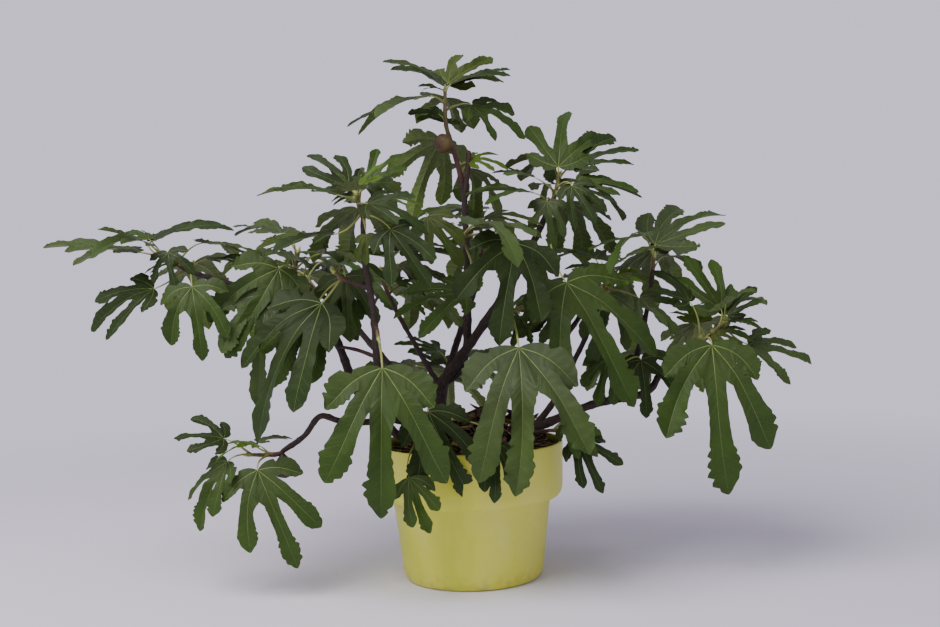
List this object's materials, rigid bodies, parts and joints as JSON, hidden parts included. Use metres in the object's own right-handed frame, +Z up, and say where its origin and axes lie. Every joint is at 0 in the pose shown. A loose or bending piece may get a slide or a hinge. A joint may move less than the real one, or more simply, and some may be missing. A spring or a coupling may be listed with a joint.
{
  "type": "fig tree in a pot",
  "caption": "Young fig tree with a short trunk, spreading boughs and large deeply lobed leaves, in a round pale yellow pot with a tall collar.",
  "frame": {"origin": "middle of the pot's flat underside, where it stands on the ground", "axes": "+Z up, +X to the tree's right as seen from its front, +Y to its back, so the front looks along -Y"},
  "size_m": [1.241, 0.6598, 0.8603],
  "materials": {
    "pot": "matt pale lemon-yellow plastic, scuffed and faintly stained, with worn lighter edges",
    "soil": "dark damp bark compost with dry leaf litter, fully matt",
    "bark": "smooth dark reddish-brown young bark with leaf scars, greyer and rougher at the foot",
    "foliage": "dark green leaves with a dull satin upper side, yellow-green veins and stalks, and a paler grey-green underside"
  },
  "bodies": {
    "root": {"pot": "pot", "soil": "soil", "trunk": "bark", "leader": "bark", "right_bough": "bark", "inner_twig": "bark", "left_bough": "bark", "front_left_bough": "bark", "low_left_bough": "bark", "right_low_bough": "bark", "right_middle_bough": "bark", "right_upper_bough": "bark", "leader_spur": "bark", "right_spur": "bark", "left_spur": "bark", "front_spur": "bark", "low_front_spur": "bark", "right_low_spur": "bark", "left_twig": "bark", "front_low_bough": "bark", "rim_sprout_bough": "bark", "back_bough": "bark", "back_left_bough": "bark", "back_right_bough": "bark", "back_low_bough": "bark", "top_foliage": "foliage", "upper_right_foliage": "foliage", "upper_left_foliage": "foliage", "far_left_foliage": "foliage", "left_foliage": "foliage", "front_left_foliage": "foliage", "front_foliage": "foliage", "middle_foliage": "foliage", "lower_left_foliage": "foliage", "centre_foliage": "foliage", "front_right_foliage": "foliage", "right_middle_foliage": "foliage", "right_upper_foliage": "foliage", "far_right_foliage": "foliage", "right_low_foliage": "foliage", "low_front_foliage": "foliage", "rim_sprout_foliage": "foliage", "back_foliage": "foliage", "back_left_foliage": "foliage", "back_right_foliage": "foliage", "back_low_foliage": "foliage"}
  },
  "joints": []
}
